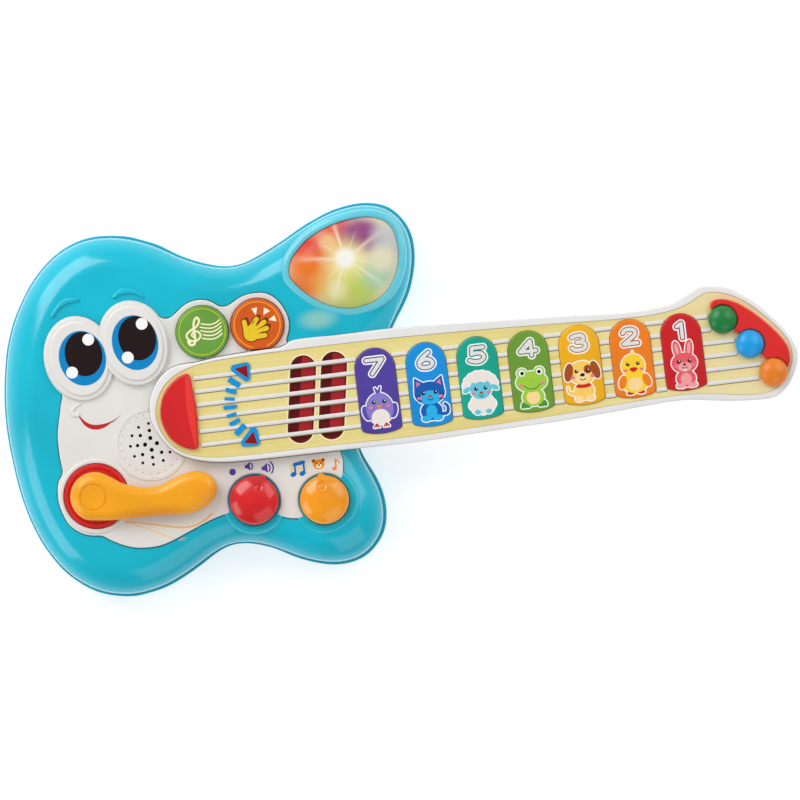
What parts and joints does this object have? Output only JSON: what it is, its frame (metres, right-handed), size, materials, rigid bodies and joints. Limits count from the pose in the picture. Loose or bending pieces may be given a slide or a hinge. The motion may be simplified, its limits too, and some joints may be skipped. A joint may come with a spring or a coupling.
{
  "type": "toy electric guitar",
  "caption": "Toy electric guitar with a smiling face, pressable note keys, round buttons, turning knobs, a spring-back lever, a domed light and a battery bay in its flat back.",
  "frame": {"origin": "centre of the bounding box in plan, at the flat back that it lies on", "axes": "+X from the body to the head along the strings, +Y across the strings towards the horn with the light, +Z out of the front"},
  "size_m": [0.4593, 0.2108, 0.0532],
  "materials": {
    "blue_shell": "gloss, light texture free",
    "white_panel": "gloss",
    "white_neck": "gloss",
    "wood_print": "satin print of pale wood",
    "red_plastic": "gloss",
    "window_red": "clear red, gloss",
    "yellow_orange_plastic": "gloss",
    "green_plastic": "gloss",
    "orange_plastic": "gloss",
    "tuner_green_plastic": "gloss",
    "tuner_blue_plastic": "gloss",
    "key_purple": "gloss",
    "key_blue": "gloss",
    "key_teal": "gloss",
    "key_green": "gloss",
    "key_amber": "gloss",
    "key_orange": "gloss",
    "key_red": "gloss",
    "lens": "milky translucent, gloss",
    "reflector_white": "satin",
    "circuit_board": "solder mask",
    "silicone": "matte",
    "steel": "zinc plated",
    "battery_jacket": "gloss",
    "black_plastic": "matte",
    "speaker_metal": "satin",
    "speaker_paper": "matte",
    "lamp_red_clear": "clear",
    "lamp_green_clear": "clear",
    "lamp_blue_clear": "clear"
  },
  "bodies": {
    "guitar": {"rear_shell": "blue_shell", "front_shell": "blue_shell", "face_panel": "white_panel", "neck_front_shell": "white_neck", "neck_rear_shell": "white_neck", "fretboard_panel": "wood_print", "bridge_cap": "red_plastic", "strum_window_1": "window_red", "strum_window_2": "window_red", "strum_board": "circuit_board", "key_membrane": "silicone", "key_board": "circuit_board", "button_board": "circuit_board", "volume_switch": "black_plastic", "mode_switch": "black_plastic", "main_board": "circuit_board", "lever_base": "red_plastic", "lever_spring": "steel", "lever_switch": "black_plastic", "light_lens": "lens", "light_reflector": "reflector_white", "light_board": "circuit_board", "lamp_red": "lamp_red_clear", "lamp_green": "lamp_green_clear", "lamp_blue": "lamp_blue_clear", "speaker_basket": "speaker_metal", "speaker_cone": "speaker_paper", "speaker_magnet": "speaker_metal", "head_bar": "red_plastic", "battery_1": "battery_jacket", "battery_2": "battery_jacket", "battery_3": "battery_jacket", "battery_contact_left": "steel", "battery_contact_right": "steel", "shell_screw_1": "steel", "shell_screw_2": "steel", "shell_screw_3": "steel", "shell_screw_4": "steel", "neck_screw_root": "steel", "neck_screw_head": "steel"},
    "battery_door": {"battery_door": "blue_shell", "door_screw": "steel"},
    "green_button": {"green_button": "green_plastic"},
    "orange_button": {"orange_button": "orange_plastic"},
    "volume_knob": {"volume_knob": "red_plastic", "volume_shaft": "steel"},
    "mode_knob": {"mode_knob": "yellow_orange_plastic", "mode_shaft": "steel"},
    "whammy_lever": {"whammy_lever": "yellow_orange_plastic", "lever_screw": "steel"},
    "tuner_green": {"tuner_green": "tuner_green_plastic"},
    "tuner_blue": {"tuner_blue": "tuner_blue_plastic"},
    "tuner_orange": {"tuner_orange": "yellow_orange_plastic"},
    "key_1": {"key_1": "key_red"},
    "key_2": {"key_2": "key_orange"},
    "key_3": {"key_3": "key_amber"},
    "key_4": {"key_4": "key_green"},
    "key_5": {"key_5": "key_teal"},
    "key_6": {"key_6": "key_blue"},
    "key_7": {"key_7": "key_purple"}
  },
  "joints": [
    {"name": "key_1_press", "type": "slide", "parent": "guitar", "child": "key_1", "axis": [0, 0, -1], "range_m": [0, 0.0015], "stiffness_N_per_m": 600, "springref_m": -0.001},
    {"name": "key_2_press", "type": "slide", "parent": "guitar", "child": "key_2", "axis": [0, 0, -1], "range_m": [0, 0.0015], "stiffness_N_per_m": 600, "springref_m": -0.001},
    {"name": "key_3_press", "type": "slide", "parent": "guitar", "child": "key_3", "axis": [0, 0, -1], "range_m": [0, 0.0015], "stiffness_N_per_m": 600, "springref_m": -0.001},
    {"name": "key_4_press", "type": "slide", "parent": "guitar", "child": "key_4", "axis": [0, 0, -1], "range_m": [0, 0.0015], "stiffness_N_per_m": 600, "springref_m": -0.001},
    {"name": "key_5_press", "type": "slide", "parent": "guitar", "child": "key_5", "axis": [0, 0, -1], "range_m": [0, 0.0015], "stiffness_N_per_m": 600, "springref_m": -0.001},
    {"name": "key_6_press", "type": "slide", "parent": "guitar", "child": "key_6", "axis": [0, 0, -1], "range_m": [0, 0.0015], "stiffness_N_per_m": 600, "springref_m": -0.001},
    {"name": "key_7_press", "type": "slide", "parent": "guitar", "child": "key_7", "axis": [0, 0, -1], "range_m": [0, 0.0015], "stiffness_N_per_m": 600, "springref_m": -0.001},
    {"name": "green_button_press", "type": "slide", "parent": "guitar", "child": "green_button", "axis": [0, 0, -1], "range_m": [0, 0.002], "stiffness_N_per_m": 500, "springref_m": -0.0015},
    {"name": "orange_button_press", "type": "slide", "parent": "guitar", "child": "orange_button", "axis": [0, 0, -1], "range_m": [0, 0.002], "stiffness_N_per_m": 500, "springref_m": -0.0015},
    {"name": "volume_turn", "type": "hinge", "parent": "guitar", "child": "volume_knob", "pos_m": [-0.0908, -0.0581, 0.04], "axis": [0, 0, 1], "range_deg": [0, 57]},
    {"name": "mode_turn", "type": "hinge", "parent": "guitar", "child": "mode_knob", "pos_m": [-0.0506, -0.0626, 0.04], "axis": [0, 0, 1], "range_deg": [-26, 31]},
    {"name": "whammy_turn", "type": "hinge", "parent": "guitar", "child": "whammy_lever", "pos_m": [-0.1812, -0.045, 0.042], "axis": [0, 0, 1], "range_deg": [-16, 0], "stiffness_Nm_per_rad": 0.2, "springref_deg": 8.59},
    {"name": "tuner_green_spin", "type": "hinge", "parent": "guitar", "child": "tuner_green", "pos_m": [0.1887, 0.0127, 0.0466], "axis": [0, 0, 1], "continuous": true},
    {"name": "tuner_blue_spin", "type": "hinge", "parent": "guitar", "child": "tuner_blue", "pos_m": [0.2025, -0.0031, 0.0466], "axis": [0, 0, 1], "continuous": true},
    {"name": "tuner_orange_spin", "type": "hinge", "parent": "guitar", "child": "tuner_orange", "pos_m": [0.2142, -0.0208, 0.0466], "axis": [0, 0, 1], "continuous": true},
    {"name": "battery_door_off", "type": "slide", "parent": "guitar", "child": "battery_door", "axis": [0, 0, -1], "range_m": [0, 0.03]}
  ]
}
